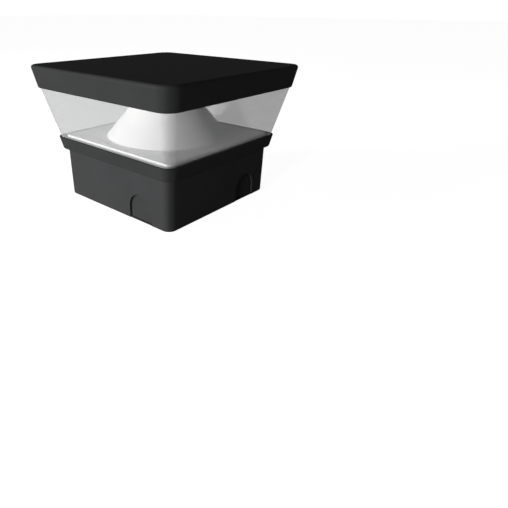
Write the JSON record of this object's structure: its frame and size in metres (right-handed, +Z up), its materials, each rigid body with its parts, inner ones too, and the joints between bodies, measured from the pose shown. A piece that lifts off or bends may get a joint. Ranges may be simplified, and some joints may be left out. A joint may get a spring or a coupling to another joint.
{
  "type": "deck post cap light",
  "caption": "Square flared post cap light: clear lens round a white reflector cone, black lid, and a skirt that slides over a deck post.",
  "frame": {"origin": "middle of the skirt's bottom rim", "axes": "+Z up; -Y is the front face and +X the side face, which have the cable slots"},
  "size_m": [0.1272, 0.1272, 0.0877],
  "materials": {
    "black_casting": "black powder-coated die casting, semi-matt, fine texture",
    "black_plug": "black moulded plastic, matched to the casting",
    "clear_lens": "clear polycarbonate, polished",
    "white_reflector": "white moulded plastic, satin",
    "silicone": "grey silicone rubber",
    "heat_plate": "aluminium sheet, painted white",
    "steel": "zinc-plated and stainless steel",
    "white_board": "aluminium-backed circuit board with white solder mask",
    "green_board": "glass-fibre circuit board with green solder mask",
    "led": "white package with a yellow phosphor window",
    "black_chip": "black moulded component with tinned legs",
    "capacitor": "moulded tantalum capacitor",
    "brass": "brass",
    "nylon": "natural nylon",
    "red_wire": "red insulated wire",
    "black_wire": "black insulated wire"
  },
  "bodies": {
    "base": {"base_housing": "black_casting"},
    "head": {"collar_tray": "black_casting", "lower_gasket": "silicone", "lens": "clear_lens", "upper_gasket": "silicone", "reflector_plate": "white_reflector", "reflector_cone": "white_reflector", "top_cap": "black_casting", "heat_plate": "heat_plate", "cap_screws": "steel", "thermal_pad": "silicone", "led_board": "white_board", "led_chips": "led", "led_board_screws": "steel", "driver_stand_offs": "nylon", "driver_board": "green_board", "driver_inductor": "black_chip", "driver_capacitors": "capacitor", "driver_chips": "black_chip", "driver_screws": "steel", "board_link_pins": "brass", "centre_tube": "steel", "tube_top_nut": "steel", "tube_bottom_washer": "steel", "tube_bottom_nut": "steel", "tube_bush": "nylon", "terminal_block": "nylon", "terminal_sleeves": "brass", "terminal_screws": "steel", "terminal_fixing_screw": "steel", "red_lead": "red_wire", "black_lead": "black_wire", "retaining_springs": "steel", "spring_screws": "steel"},
    "front_plug": {"front_slot_plug": "black_plug"},
    "side_plug": {"side_slot_plug": "black_plug"}
  },
  "joints": [
    {"name": "head_lift", "type": "slide", "parent": "base", "child": "head", "axis": [0, 0, 1], "range_m": [0, 0.045]},
    {"name": "front_plug_push", "type": "slide", "parent": "base", "child": "front_plug", "axis": [0, 1, 0], "range_m": [0, 0.01]},
    {"name": "side_plug_push", "type": "slide", "parent": "base", "child": "side_plug", "axis": [-1, 0, 0], "range_m": [0, 0.01]}
  ]
}
